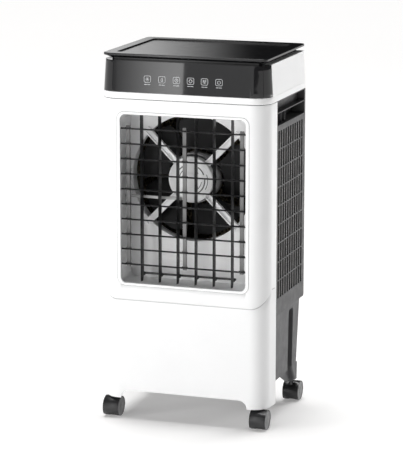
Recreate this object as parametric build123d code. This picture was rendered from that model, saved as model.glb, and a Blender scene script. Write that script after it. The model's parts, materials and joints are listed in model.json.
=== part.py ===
from build123d import *
import math
import os

# Portable evaporative cooler on casters. Millimetres, +Z up, +Y to the back.
# The origin is on the floor, under the middle of the cabinet.

# ---- driving dimensions -------------------------------------------------
HALF = 180.0            # half the cabinet's width
FACE = -139.0           # front face of the cabinet
LIP = 1.0               # how far the outlet's lip stands proud of the face
CAP_REAR = 136.0        # back of the top housing
SIDE_REAR = 134.0       # back of the grey side housings
LID_TOP = 765.0         # highest point
WALL = 2.6              # moulded wall thickness
CORNER = 38.0           # radius of the two vertical front corners

FOOT_Z = 44.0           # bottom of the front shell's feet
ARCH_Z = 61.5           # underside of the front shell between its feet
ARCH_HALF = 137.0
STEP_Z = 257.0          # rolled lower edge of the raised upper front
STEP = 3.2              # how far the upper front stands proud
RIM_Z = 674.0           # seam between the cabinet and the top housing
BAND_Z = 687.0          # lower edge of the control panel
DECK_Z = 751.0          # top of the top housing
CAP_LEAN = 4.0          # how far the top housing leans in over its height
SHELL_BACK = -75.0      # the front shell's side flanks end here
PANEL_BACK = -104.0     # the control panel's wings end here

OUTLET_Z = 467.0        # middle of the air outlet
OUTLET_HALF_X = 134.5   # inside of the outlet tunnel
OUTLET_HALF_Z = 175.5
OUTLET_RIM = 6.5        # width of the outlet's lip
TUNNEL_BACK = -74.0     # the tunnel ends at the fan shroud
FAN_Z = 505.5           # fan axis
MOUTH_R = 131.0         # shroud mouth
FAN_R = 124.0
HUB_R = 52.0
MOTOR_R = 40.0
COVER_R = 48.0

BLADES = 10             # horizontal louvre blades
BLADE_Z0 = 330.0
BLADE_PITCH = 31.3
BLADE_Y = -131.0        # louvre pivot axis
TIE_Y = -124.5          # axis of the louvre tie bars' pins
TIE_X = (-122.0, 0.0, 122.0)
TIE_HALF = 4.0          # half the width of a tie bar
VANES = 6               # vertical swing vanes
VANE_PITCH = 39.0
VANE_Y = -112.0         # vane pivot axis
VANE_CHORD = 18.0
VANE_TIE_Y = -99.0      # axis of the vane tie bar's pins
VANE_TIE_Z = 306.0
LINK_Z = 466.0          # height of the swing link
CRANK_X = -150.0        # swing motor shaft
PIN = 1.5               # pivot pin radius
FIT = 0.08              # running clearance on a radius

GRILLE_Z0 = 261.5       # side grille, first row
GRILLE_PITCH = 38.9
GRILLE_ROWS = 9
SLOT_PITCH = 16.2
SLOT_WIDE = 10.4
RIB = 2.4               # horizontal grille rib
SIDE_Z0 = 228.0         # bottom edge of the side housings
GRIP_Z = (622.0, 671.5)
GRIP_Y = (-69.0, 121.0)
LEDGE_Z = 648.0         # shelf inside the hand grip
GLAND = (-125.0, 240.0) # cord gland in the rear cover, x and z
DRAIN_Z = 97.0          # drain plug axis

TANK_TOP = 226.5
TANK_FLOOR = 85.0
LEG_Z = 50.0            # bottom of the tank's rear legs
CHANNEL_Y = (37.0, 69.0)
CHANNEL_Z = (91.0, 216.0)

WHEEL_R = 20.0          # casters
WHEEL_X = 160.0
WHEEL_Y = (-118.0, 117.0)
STEM_Y = (-106.0, 105.0)
STEM_R = 4.0
HOOD_R = 21.8
WHEEL_WIDE = 11.0
WEB_HALF = 6.0          # half the thickness of a caster's central web
AXLE_R = 3.0

HINGE_Y = 136.2         # lid hinge axis
HINGE_Z = 752.4


# ---- helpers ------------------------------------------------------------
def block(x, y, z):
    """Box between pairs of x, y and z limits."""
    middle = Pos((x[0] + x[1]) / 2, (y[0] + y[1]) / 2, (z[0] + z[1]) / 2)
    return middle * Box(x[1] - x[0], y[1] - y[0], z[1] - z[0])


def rod(start, radius, length, along):
    """Cylinder that starts at a point and runs along +x, +y or +z."""
    turn = {"x": Rot(0, 90, 0), "y": Rot(-90, 0, 0), "z": Rot(0, 0, 0)}[along]
    base = (Align.CENTER, Align.CENTER, Align.MIN)
    return Pos(*start) * turn * Cylinder(radius, length, align=base)


def rounded(points, radii):
    """Face inside a closed outline whose corners are rounded to a list of radii."""
    return make_face(FilletPolyline(*points, radius=radii, close=True))


def front_prism(face, y0, y1):
    """Prism of a face drawn in X and Z, between two depths."""
    return extrude(Plane((0, y1, 0), x_dir=(1, 0, 0), z_dir=(0, -1, 0)) * face, y1 - y0)


def side_prism(face, x0, x1):
    """Prism of a face drawn in Y and Z, between two distances from the middle."""
    return extrude(Plane((x0, 0, 0), x_dir=(0, 1, 0), z_dir=(1, 0, 0)) * face, x1 - x0)


def plan_prism(face, z0, z1):
    """Prism of a face drawn in X and Y, between two heights."""
    return extrude(Pos(0, 0, z0) * face, z1 - z0)


def plan(half, front, rear, front_radius, rear_radius):
    """Plan outline with large front corners and small rear corners."""
    corners = [(-half, front), (half, front), (half, rear), (-half, rear)]
    return rounded(corners, [front_radius, front_radius, rear_radius, rear_radius])


def window(half_x, half_z, radius):
    """Rounded rectangle in X and Z, centred on the air outlet."""
    return Pos(0, OUTLET_Z) * RectangleRounded(2 * half_x, 2 * half_z, radius)


def cap(inset, z0, z1):
    """Leaning upper housing between two heights, all its sides moved in by an inset."""
    def outline(z):
        move = inset + CAP_LEAN * (z - BAND_Z) / (DECK_Z - BAND_Z)
        return Pos(0, 0, z) * plan(HALF - move, FACE + move, CAP_REAR - move, CORNER - move, 14 - move)
    return loft([outline(z0), outline(z1)], ruled=True)


def blade_z(index):
    return BLADE_Z0 + BLADE_PITCH * index


def vane_x(index):
    return VANE_PITCH * (index - (VANES - 1) / 2)


# ---- front shell, outlet and fan ----------------------------------------
def lower_plan(inset):
    """Plan of the set-back lower front; its flanks flare out to the full width at the back."""
    side, front, back = HALF - inset, FACE + STEP + inset, SHELL_BACK + 5 * (inset > 0)
    points = [(-side, back), (2.5 - side, -100), (2.5 - side, front)]
    points += [(-x, y) for x, y in reversed(points)]
    return rounded(points, [0, 20, CORNER - 2.5 - inset, CORNER - 2.5 - inset, 20, 0])


def front_shell():
    upper = plan_prism(plan(HALF, FACE, SHELL_BACK, CORNER, 0), STEP_Z, RIM_Z - 0.6)
    raised = [(-HALF, STEP_Z), (HALF, STEP_Z), (HALF, RIM_Z), (-HALF, RIM_Z)]
    upper &= front_prism(rounded(raised, [36, 36, 0, 0]), FACE, SHELL_BACK)
    lower = plan_prism(lower_plan(0), FOOT_Z, STEP_Z + 60)
    hollow = plan_prism(lower_plan(WALL), FOOT_Z - 1, STEP_Z + 45)
    hollow += plan_prism(plan(HALF - WALL, FACE + WALL, SHELL_BACK + 5, CORNER - WALL, 0),
                         STEP_Z + 45, RIM_Z + 1)
    arch = [(-ARCH_HALF, 0), (ARCH_HALF, 0), (ARCH_HALF, ARCH_Z), (-ARCH_HALF, ARCH_Z)]
    opening = front_prism(rounded(arch, [0, 0, 18, 18]), FACE - 1, -85)
    opening += front_prism(window(138.2, 178.7, 13), FACE - 1, -85)
    return upper + lower - hollow - opening


def outlet_frame():
    tunnel = window(OUTLET_HALF_X, OUTLET_HALF_Z, 12)
    lip = front_prism(window(OUTLET_HALF_X + OUTLET_RIM, OUTLET_HALF_Z + 4.5, 16), FACE - LIP, FACE)
    lip = fillet(lip.edges().group_by(Axis.Y)[0], 0.8)
    duct = front_prism(window(OUTLET_HALF_X + 2.5, OUTLET_HALF_Z + 2.5, 13), FACE - LIP, TUNNEL_BACK)
    flange = front_prism(window(148, 187, 16), TUNNEL_BACK - 2.5, TUNNEL_BACK)
    frame = lip + duct + flange - front_prism(tunnel, FACE - 3, TUNNEL_BACK + 1)
    for index in range(BLADES):
        frame -= rod((-145, BLADE_Y, blade_z(index)), PIN + FIT, 290, "x")
    for index in range(VANES):
        frame -= rod((vane_x(index), VANE_Y, 280), PIN + FIT, 380, "z")
    return frame - block((-140, -130), (-108.5, -92), (LINK_Z - 6, LINK_Z + 6))


def fan_shroud():
    mouth = Pos(0, FAN_Z) * Circle(MOUTH_R)
    plate = front_prism(window(150, 188, 14), TUNNEL_BACK, TUNNEL_BACK + WALL)
    ring = front_prism(Pos(0, FAN_Z) * Circle(MOUTH_R + 2), TUNNEL_BACK, TUNNEL_BACK + 24)
    return plate + ring - front_prism(mouth, TUNNEL_BACK - 1, TUNNEL_BACK + 30)


def motor_bracket():
    """Four ribbed arms at 45 degrees that meet in a cup for the motor."""
    front = TUNNEL_BACK - 8
    arm = block((40, 140), (front, TUNNEL_BACK), (-6.5, 6.5))
    arm -= block((46, 137), (front - 1, TUNNEL_BACK - 3), (-4, 4))
    arms = Part() + [Pos(0, 0, FAN_Z) * Rot(0, 45 + 90 * k, 0) * arm for k in range(4)]
    cup = rod((0, front - 2, FAN_Z), MOTOR_R + 6, 16, "y")
    return arms + cup - rod((0, front, FAN_Z), MOTOR_R + 0.4, 20, "y")


def motor_cover():
    disc = rod((0, TUNNEL_BACK - 16, FAN_Z), COVER_R, 6, "y")
    disc = fillet(disc.edges().group_by(Axis.Y)[0], 2.5)
    for k in range(4):
        turn = math.radians(45 + 90 * k)
        disc -= rod((20 * math.cos(turn), TUNNEL_BACK - 17, FAN_Z + 20 * math.sin(turn)), 2, 8, "y")
    return disc


def fan_motor():
    back = TUNNEL_BACK + 34
    body = rod((0, TUNNEL_BACK - 8, FAN_Z), MOTOR_R, 42, "y")
    body = fillet(body.edges().group_by(Axis.Y)[-1], 4)
    body -= rod((0, TUNNEL_BACK - 4, FAN_Z), 4 + FIT, 60, "y")
    return body + (rod((0, back, FAN_Z), 9, 3, "y") - rod((0, back - 1, FAN_Z), 4 + FIT, 6, "y"))


def motor_shaft():
    return rod((0, TUNNEL_BACK - 3, FAN_Z), 4, 55, "y")


def fan_impeller():
    """Cup-shaped hub with five pitched blades, on the motor's shaft."""
    front, back = TUNNEL_BACK + 8, TUNNEL_BACK + 46
    cup = rod((0, front, FAN_Z), HUB_R, back - front, "y")
    cup -= rod((0, front - 1, FAN_Z), HUB_R - 3, back - front - 2, "y")
    sweep = rod((0, front + 2, FAN_Z), FAN_R, 32, "y") - rod((0, front, FAN_Z), HUB_R - 1, 40, "y")
    blade = Pos((FAN_R + HUB_R) / 2, 0, 0) * Rot(25, 0, 0) * Box(FAN_R, 2.6, 92)
    blades = [Pos(0, front + 18, FAN_Z) * Rot(0, 72 * k, 0) * blade & sweep for k in range(5)]
    return cup + blades - rod((0, front, FAN_Z), 4, 60, "y")


# ---- louvres and vanes --------------------------------------------------
def louvre(index):
    """Thin blade with a pivot pin at each end and a clip at each tie bar."""
    z = blade_z(index)
    nose, tail = BLADE_Y - 7.0, TIE_Y - 3.7
    profile = [(nose, z), (nose + 3, z + 1.1), (tail, z + 0.6), (tail, z - 0.6), (nose + 3, z - 1.1)]
    blade = side_prism(make_face(Polyline(*profile, close=True)), -134, 134)
    blade += rod((-136.6, BLADE_Y, z), PIN, 273.2, "x")
    for x in TIE_X:
        for side in (-1, 1):
            ear = x + side * (TIE_HALF + 1.0)
            blade += block((ear - 0.6, ear + 0.6), (tail - 0.5, TIE_Y + 1.4), (z - 1.4, z + 1.4))
        blade += rod((x - TIE_HALF - 1, TIE_Y, z), 0.9, 2 * TIE_HALF + 2, "x")
    return blade


def louvre_tie_bars():
    bars = []
    for x in TIE_X:
        bar = block((x - TIE_HALF, x + TIE_HALF), (TIE_Y - 1.9, TIE_Y + 1.9),
                    (BLADE_Z0 - 6, blade_z(BLADES - 1) + 6))
        for index in range(BLADES):
            bar -= rod((x - 10, TIE_Y, blade_z(index)), 0.9 + FIT, 20, "x")
        bars.append(bar)
    return Compound(children=bars)


def vane(index):
    """Upright blade, its pivot pins, and a lug with a pin for the tie bar."""
    x = vane_x(index)
    low, high = OUTLET_Z - OUTLET_HALF_Z + 0.6, OUTLET_Z + OUTLET_HALF_Z - 0.6
    nose, tail = VANE_Y - VANE_CHORD / 2, VANE_Y + VANE_CHORD / 2
    section = [(x, nose), (x + 1.2, nose + 4), (x + 0.7, tail), (x - 0.7, tail), (x - 1.2, nose + 4)]
    body = plan_prism(make_face(Polyline(*section, close=True)), low, high)
    taper = [(tail + 1, low - 1), (tail + 1, low + 20), (tail, low + 14), (VANE_Y + 3, low - 1)]
    body -= side_prism(make_face(Polyline(*taper, close=True)), x - 5, x + 5)
    body += rod((x, VANE_Y, low - 2.9), PIN, high - low + 5.8, "z")
    body += lug(x, tail, VANE_TIE_Z)
    if index == 2:
        body += lug(x, tail, LINK_Z)
    return body


def lug(x, tail, z):
    """Arm behind a vane with an upright pin for the bar that lies on it."""
    arm = block((x - 1.6, x + 1.6), (tail - 1, VANE_TIE_Y + 1.6), (z - 4.4, z - 2.2))
    return arm + rod((x, VANE_TIE_Y, z - 3), 1.1, 5.6, "z")


def vane_tie_bar():
    edge = vane_x(VANES - 1) + 4
    bar = block((-edge, edge), (VANE_TIE_Y - 2, VANE_TIE_Y + 2), (VANE_TIE_Z - 2, VANE_TIE_Z + 2))
    for index in range(VANES):
        bar -= rod((vane_x(index), VANE_TIE_Y, VANE_TIE_Z - 5), 1.1 + FIT, 10, "z")
    return bar


def swing_link():
    """Drive bar from the crank, through the tunnel's left wall, to the third vane."""
    x = vane_x(2)
    bar = block((-124, x + 4), (VANE_TIE_Y - 2, VANE_TIE_Y + 2), (LINK_Z - 2, LINK_Z + 3.5))
    low, high = LINK_Z - 2, LINK_Z + 1
    bar += block((CRANK_X + 11, -123), (VANE_TIE_Y - 1.5, VANE_TIE_Y + 1.5), (low, high))
    eye = block((CRANK_X - 12, CRANK_X + 12), (VANE_TIE_Y - 5.5, VANE_TIE_Y + 5.5), (low, high))
    eye -= block((CRANK_X - 9.5, CRANK_X + 9.5), (VANE_TIE_Y - 3.5, VANE_TIE_Y + 3.5), (low - 1, high + 1))
    return bar + eye - rod((x, VANE_TIE_Y, LINK_Z - 3), 1.1 + FIT, 10, "z")


def swing_motor():
    body = rod((CRANK_X, VANE_TIE_Y, LINK_Z - 28), 12, 18, "z")
    return body + rod((CRANK_X, VANE_TIE_Y, LINK_Z - 10), 2.5, 3, "z")


def swing_crank():
    disc = rod((CRANK_X, VANE_TIE_Y, LINK_Z - 7), 5, 3, "z")
    return disc + rod((CRANK_X, VANE_TIE_Y, LINK_Z - 4), 1.4, 5.5, "z")


# ---- top housing, control panel and lid ---------------------------------
def top_shell():
    rim = plan_prism(plan(HALF, FACE, CAP_REAR, CORNER, 14), RIM_Z, BAND_Z - 0.5)
    seam = plan_prism(plan(HALF - 0.8, FACE + 0.8, CAP_REAR - 0.8, CORNER - 0.8, 13.2), BAND_Z - 0.5, BAND_Z)
    housing = cap(0, BAND_Z, DECK_Z) - block((-200, 200), (-160, PANEL_BACK + 0.4), (BAND_Z, 760))
    housing += cap(3.2, BAND_Z, DECK_Z - 2.8)
    shape = rim + seam + housing
    hollow = plan(HALF - WALL, FACE + WALL, CAP_REAR - WALL, CORNER - WALL, 11)
    shape -= plan_prism(hollow, RIM_Z - 1, BAND_Z - 3)
    shape -= cap(5.8, BAND_Z - 3.5, DECK_Z - 5.4)
    shape -= block((-147, 147), (-95, 109), (BAND_Z, 760))
    for side in (-1, 1):
        at = side * 105
        shape += block((at - 7, at + 7), (131, 136.8), (745, 750.5))
        shape += rod((at - 7, HINGE_Y, HINGE_Z), 3.4, 14, "x")
        shape -= rod((at - 8, HINGE_Y, HINGE_Z), PIN, 16, "x")
    return shape


def control_panel():
    """Wrap-round gloss band with a shelf over the front of the deck."""
    band = cap(0, BAND_Z + 0.3, DECK_Z) & block((-200, 200), (-160, PANEL_BACK), (BAND_Z, 760))
    return band - cap(3.0, BAND_Z - 2, DECK_Z - 2.6)


def control_board():
    board = block((-105, 105), (-126.6, -125), (694, 740))
    board += block((-20, 20), (-125, -119), (700, 716))
    for k in range(6):
        board += block((-82 + 30.4 * k, -70 + 30.4 * k), (-128.1, -126.6), (708, 720))
    return board


def filling_tray():
    """Drop-in tray under the lid, with drain holes over the drip trough."""
    tray = block((-145, 145), (-93, 107), (700, DECK_Z + 1))
    tray += block((-152, 152), (-100, 114), (DECK_Z, DECK_Z + 1))
    tray -= block((-143, 143), (-91, 105), (702, DECK_Z + 2))
    for side in (-1, 1):
        for k in range(9):
            tray -= rod((side * 135, -70 + 20 * k, 695), 3, 10, "z")
    return tray


def lid():
    """Tray-like cover: thin rim, bevelled underside, neck that rests on the deck."""
    def outline(inset):
        return plan(175 - inset, -132 + inset, 140 - inset, 14 - inset / 2, 12 - inset / 2)
    top = plan_prism(outline(0), 760.5, LID_TOP)
    top = fillet(top.edges().group_by(Axis.Z)[-1], 1.2)
    bevel = loft([Pos(0, 0, 754.5) * outline(14), Pos(0, 0, 760.5) * outline(0)], ruled=True)
    neck = plan_prism(outline(15), DECK_Z + 0.2, 755)
    shape = top + bevel + neck
    shape -= plan_prism(outline(17.5), DECK_Z, 760)
    shape -= plan_prism(plan(153, -110, 118, 10, 10), 762.6, LID_TOP + 1)
    for side in (-1, 1):
        for at in (side * 105 - 11.2, side * 105 + 11.2):
            shape += block((at - 3.8, at + 3.8), (HINGE_Y - 3.2, HINGE_Y + 3.2), (HINGE_Z, 760))
            shape += rod((at - 3.8, HINGE_Y, HINGE_Z), 3.2, 7.6, "x")
            shape -= rod((at - 5, HINGE_Y, HINGE_Z), PIN + FIT, 10, "x")
    return shape


def lid_hinge_pins():
    return Compound(children=[rod((side * 105 - 15.5, HINGE_Y, HINGE_Z), PIN, 31, "x") for side in (-1, 1)])


# ---- side housings and back ---------------------------------------------
def grille(columns, pitch):
    """All slots of a grille as one face, drawn from its middle, rows upwards from the first rib."""
    slots = Sketch()
    for column in range(columns):
        for row in range(GRILLE_ROWS):
            at = Pos((column - (columns - 1) / 2) * pitch, GRILLE_Z0 + (row + 0.5) * GRILLE_PITCH)
            slots += at * Rectangle(SLOT_WIDE, GRILLE_PITCH - RIB)
    return slots


def side_panel():
    """Right side housing: grille, hand grip, and a rounded return at the back."""
    points = [(120, SHELL_BACK + 0.8), (179, SHELL_BACK + 0.8), (179, SIDE_REAR), (120, SIDE_REAR)]
    inner = [(100, -90), (176, -90), (176, SIDE_REAR - 3), (100, SIDE_REAR - 3)]
    shell = plan_prism(rounded(points, [0, 0, 7, 0]), SIDE_Z0, RIM_Z - 0.6)
    shell -= plan_prism(rounded(inner, [0, 0, 4, 0]), SIDE_Z0 - 1, RIM_Z)
    shell -= block((100, 158), (-100, 150), (SIDE_Z0 - 1, RIM_Z))
    clipped = [(SIDE_REAR - 9, SIDE_Z0), (SIDE_REAR + 1, SIDE_Z0), (SIDE_REAR + 1, SIDE_Z0 + 13)]
    shell -= side_prism(make_face(Polyline(*clipped, close=True)), 150, 190)
    shell -= side_prism(Pos(23, 0) * grille(11, SLOT_PITCH), 170, 190)
    y0, y1 = GRIP_Y
    z0, z1 = GRIP_Z
    shell += block((147, 178), (y0 - 2, y1 + 2), (z0 - 1.8, z1 + 1.8))
    shell -= block((149, 190), (y0, y1), (z0, LEDGE_Z - 1))
    shell -= block((163, 190), (y0, y1), (LEDGE_Z + 1, z1))
    for k in range(3):
        shell += block((148, 171), (y0 + 22 + 27 * k, y0 + 24 + 27 * k), (z0 - 1, LEDGE_Z))
    return shell


def rear_cover():
    cover = block((-157.5, 157.5), (SIDE_REAR - 3, SIDE_REAR), (SIDE_Z0 + 2, RIM_Z - 1))
    cover -= front_prism(grille(17, SLOT_PITCH), SIDE_REAR - 5, SIDE_REAR + 1)
    return cover - rod((GLAND[0], SIDE_REAR - 5, GLAND[1]), 6.5, 10, "y")


def rear_filter():
    return block((-142, 142), (127.5, 129), (250, 622))


def power_inlet():
    """Cord gland in the rear cover, with a clear bore for the cord."""
    x, z = GLAND
    gland = rod((x, SIDE_REAR - 8, z), 6.5, 12, "y") + rod((x, SIDE_REAR, z), 9, 3, "y")
    gland += rod((x, SIDE_REAR - 8, z), 9, 4, "y")
    return gland - rod((x, SIDE_REAR - 10, z), 3.5, 20, "y")


# ---- water circuit ------------------------------------------------------
def cooling_pad(side):
    inner, outer = sorted((side * 152, side * 174))
    return block((inner, outer), (-67, 122), (234, 601))


def cooling_pad_rear():
    return block((-140, 140), (103, 125), (234, 601))


def pad_deck():
    """Plate over the tank that the pads stand on, open in the middle, slotted under the pads."""
    deck = block((-174.5, 174.5), (-70, 125.5), (228.5, 232.5))
    deck -= block((-125, 125), (-60, 90), (220, 240))
    deck -= rod((136, 88, 220), 7, 20, "z")
    for side in (-1, 1):
        for k in range(9):
            deck -= rod((side * 163, -50 + 17 * k, 220), 4, 20, "z")
    for k in range(13):
        deck -= rod((-120 + 20 * k, 114, 220), 4, 20, "z")
    return deck


def water_distributor():
    """U-shaped drip trough over the three pads, with a nipple for the riser hose."""
    low, high = 603, 617
    trough = block((-174.5, 174.5), (-64, 127), (low, high))
    trough -= block((-149, 149), (-70, 101), (low - 1, high + 1))
    groove = block((-172.5, 172.5), (-62, 125), (low + 2, high + 1))
    groove -= block((-151, 151), (-70, 103), (low, high + 2))
    trough -= groove
    trough += block((128, 150), (78, 100), (low, high)) + block((140, 150.5), (95, 102), (low, high))
    trough -= rod((136, 88, low - 1), 4.5, high - low - 3, "z")
    trough -= block((134, 155), (85, 91), (low + 6, low + 10))
    for side in (-1, 1):
        for k in range(8):
            trough -= rod((side * 163, -50 + 20 * k, low - 1), 2, 5, "z")
    for k in range(12):
        trough -= rod((-110 + 20 * k, 114, low - 1), 2, 5, "z")
    return trough


def tank_outline(half, rear, inset):
    return plan(half - inset, -131 + inset, rear - inset, 34 - inset, 14 - inset)


def water_tank():
    """Open tub, narrower at its floor, with a channel in each flank and four caster legs."""
    tub = loft([Pos(0, 0, TANK_FLOOR) * tank_outline(171.5, 112, 0),
                Pos(0, 0, TANK_TOP) * tank_outline(174, 125, 0)], ruled=True)
    hollow = loft([Pos(0, 0, TANK_FLOOR + 3) * tank_outline(171.5, 112, 3),
                   Pos(0, 0, TANK_TOP + 1) * tank_outline(174, 125, 3)], ruled=True)
    y0, y1 = CHANNEL_Y
    z0, z1 = CHANNEL_Z
    for side in (-1, 1):
        inner, outer = sorted((side * 162, side * 190))
        hollow -= block(sorted((side * 159, side * 190)), (y0 - 3, y1 + 3), (TANK_FLOOR - 5, z1 + 3))
        channel = rounded([(y0, TANK_FLOOR - 2), (y1, TANK_FLOOR - 2), (y1, z1), (y0, z1)], [0, 0, 7, 7])
        tub -= side_prism(channel, inner, outer)
    tub -= hollow
    for side in (-1, 1):
        rear = loft([Pos(0, 0, LEG_Z) * leg_outline(side, 92, 110),
                     Pos(0, 0, TANK_FLOOR + 1) * leg_outline(side, 69, 112)], ruled=True)
        front = plan_prism(leg_outline(side, -112, -94), FOOT_Z + 3, TANK_FLOOR + 1)
        gusset = [(-2, TANK_FLOOR + 2), (70, LEG_Z), (95, LEG_Z), (95, TANK_FLOOR + 2)]
        at = sorted((side * 158, side * 161))
        tub += rear + front + side_prism(make_face(Polyline(*gusset, close=True)), *at)
        for y in STEM_Y:
            tub -= rod((side * WHEEL_X, y, FOOT_Z), STEM_R, TANK_FLOOR - FOOT_Z - 4, "z")
    return tub - rod((0, 100, DRAIN_Z), 7.1, 30, "y")


def leg_outline(side, y0, y1):
    """Plan of a caster leg, flush with the tank's flank."""
    middle = side * 161
    return Pos(middle, (y0 + y1) / 2) * RectangleRounded(21, y1 - y0, 4)


def drain_plug():
    plug = rod((0, 105, DRAIN_Z), 7, 10, "y") + rod((0, 114.2, DRAIN_Z), 11, 4, "y")
    return plug + rod((0, 118, DRAIN_Z), 8, 5, "y")


def pump():
    body = block((112, 148), (62, 98), (TANK_FLOOR + 3, 124))
    body = fillet(body.edges().filter_by(Axis.Z), 5)
    return body + rod((136, 88, 123), 4.4, 10, "z")


def pump_hose():
    return rod((136, 88, 133), 4.5, 470, "z")


# ---- casters ------------------------------------------------------------
def caster_hood(side, end):
    """Web between the wheels with a cover over both treads, open below and behind."""
    x, y = side * WHEEL_X, WHEEL_Y[end]
    half = WEB_HALF + WHEEL_WIDE
    cover = rod((x - half, y, WHEEL_R), HOOD_R, 2 * half, "x")
    cover -= rod((x - half - 1, y, WHEEL_R), HOOD_R - 1.3, 2 * half + 2, "x")
    cut = [(y - 6, -10), (y + 30, -10), (y + 30, WHEEL_R - 4), (y, WHEEL_R)]
    cover -= side_prism(make_face(Polyline(*cut, close=True)), x - 30, x + 30)
    cover -= block((x - 30, x + 30), (y - 30, y + 30), (-5, 5))
    web = rod((x - WEB_HALF, y, WHEEL_R), HOOD_R - 0.3, 2 * WEB_HALF, "x")
    web -= block((x - 30, x + 30), (y - 30, y + 30), (-5, 5))
    hood = cover + web - rod((x - 30, y, WHEEL_R), AXLE_R + FIT, 60, "x")
    return hood - rod((x, STEM_Y[end], WHEEL_R + 4), STEM_R + FIT, 30, "z")


def caster_wheels(side, end):
    """Two wheels on one axle."""
    x, y = side * WHEEL_X, WHEEL_Y[end]
    pair = rod((x - WEB_HALF - 2, y, WHEEL_R), AXLE_R, 2 * WEB_HALF + 4, "x")
    for hand in (-1, 1):
        start = x + WEB_HALF + 0.5 if hand > 0 else x - WEB_HALF - 0.5 - WHEEL_WIDE
        wheel = rod((start, y, WHEEL_R), WHEEL_R, WHEEL_WIDE, "x")
        wheel = fillet(wheel.edges().group_by(Axis.X)[0] + wheel.edges().group_by(Axis.X)[-1], 1.0)
        pair += wheel
    return pair


def caster_stems():
    stems = [rod((side * WHEEL_X, y, WHEEL_R + 5), STEM_R, 55, "z") for side in (-1, 1) for y in STEM_Y]
    return Compound(children=stems)


def screws():
    """Pan-head screws of the fan shroud and of the rear cover."""
    group = []
    for side in (-1, 1):
        for z in (OUTLET_Z - 182, OUTLET_Z + 182):
            group.append(rod((side * 140, TUNNEL_BACK + WALL, z), 3.5, 2, "y"))
        for z in (300, 450, 600):
            group.append(rod((side * 150, SIDE_REAR, z), 3.5, 1.8, "y"))
    return Compound(children=group)


# ---- all the pieces -----------------------------------------------------
def pieces():
    parts = {
        "front_shell": front_shell(), "outlet_frame": outlet_frame(), "fan_shroud": fan_shroud(),
        "motor_bracket": motor_bracket(), "motor_cover": motor_cover(), "fan_motor": fan_motor(),
        "motor_shaft": motor_shaft(), "fan_impeller": fan_impeller(),
        "louvre_tie_bars": louvre_tie_bars(), "vane_tie_bar": vane_tie_bar(), "swing_link": swing_link(),
        "swing_motor": swing_motor(), "swing_crank": swing_crank(),
        "top_shell": top_shell(), "control_panel": control_panel(), "control_board": control_board(),
        "filling_tray": filling_tray(), "lid": lid(), "lid_hinge_pins": lid_hinge_pins(),
        "side_panel_right": side_panel(), "side_panel_left": mirror(side_panel(), about=Plane.YZ),
        "rear_cover": rear_cover(), "rear_filter": rear_filter(), "power_inlet": power_inlet(),
        "cooling_pad_left": cooling_pad(-1), "cooling_pad_right": cooling_pad(1),
        "cooling_pad_rear": cooling_pad_rear(), "pad_deck": pad_deck(),
        "water_distributor": water_distributor(), "water_tank": water_tank(), "drain_plug": drain_plug(),
        "pump": pump(), "pump_hose": pump_hose(), "caster_stems": caster_stems(), "screws": screws(),
    }
    for index in range(BLADES):
        parts[f"louvre_{index + 1}"] = louvre(index)
    for index in range(VANES):
        parts[f"vane_{index + 1}"] = vane(index)
    for side, hand in ((-1, "left"), (1, "right")):
        for end, where in enumerate(("front", "rear")):
            parts[f"caster_hood_{where}_{hand}"] = caster_hood(side, end)
            parts[f"caster_wheels_{where}_{hand}"] = caster_wheels(side, end)
    return parts


os.makedirs("parts", exist_ok=True)
for node, shape in pieces().items():
    export_step(shape, f"parts/{node}.step")
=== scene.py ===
import json
import logging
import math
from dataclasses import dataclass
from enum import Enum
from typing import Iterable, Sequence

import bmesh
import bpy
import numpy as np
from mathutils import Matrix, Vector


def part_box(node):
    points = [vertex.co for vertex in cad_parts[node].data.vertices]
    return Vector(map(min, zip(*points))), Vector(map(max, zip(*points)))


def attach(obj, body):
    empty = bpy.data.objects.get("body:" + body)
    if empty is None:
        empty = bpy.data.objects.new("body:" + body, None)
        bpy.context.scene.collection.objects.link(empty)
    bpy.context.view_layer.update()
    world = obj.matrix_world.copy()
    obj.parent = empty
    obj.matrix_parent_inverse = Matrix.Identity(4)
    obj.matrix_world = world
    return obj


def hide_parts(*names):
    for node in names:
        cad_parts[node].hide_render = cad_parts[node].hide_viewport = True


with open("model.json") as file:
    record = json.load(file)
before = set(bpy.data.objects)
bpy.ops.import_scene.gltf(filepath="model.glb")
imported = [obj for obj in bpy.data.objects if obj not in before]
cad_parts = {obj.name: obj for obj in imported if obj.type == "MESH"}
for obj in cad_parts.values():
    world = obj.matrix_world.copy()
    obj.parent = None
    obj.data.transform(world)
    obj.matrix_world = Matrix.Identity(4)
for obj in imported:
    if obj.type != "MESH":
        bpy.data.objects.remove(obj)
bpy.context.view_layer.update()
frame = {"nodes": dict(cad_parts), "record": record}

LOG = logging.getLogger("cooler")
MM = 0.001
MERGE = 2e-6
NO_LENGTH = 1e-7
ON_AXIS = 0.01
RANGE_SOCKETS = ("From Min", "From Max", "To Min", "To Max")
Socket = bpy.types.NodeSocket


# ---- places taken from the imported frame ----
def joint_place(name: str) -> tuple[float, ...]:
    """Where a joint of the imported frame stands.

    Args:
        name: the joint's name.

    Returns:
        Its x, y and z in millimetres.
    """
    rows = {row["name"]: row["pos_m"] for row in frame["record"]["behaviour"]["joints"]}
    return tuple(round(value / MM, 4) for value in rows[name])


def limits(node: str) -> tuple[np.ndarray, np.ndarray]:
    """How far a CAD node reaches.

    Args:
        node: the node's name.

    Returns:
        Its lowest and highest corner in millimetres, to a hundredth.
    """
    low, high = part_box(node)
    return np.round(np.array(low) / MM, 2), np.round(np.array(high) / MM, 2)


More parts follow.
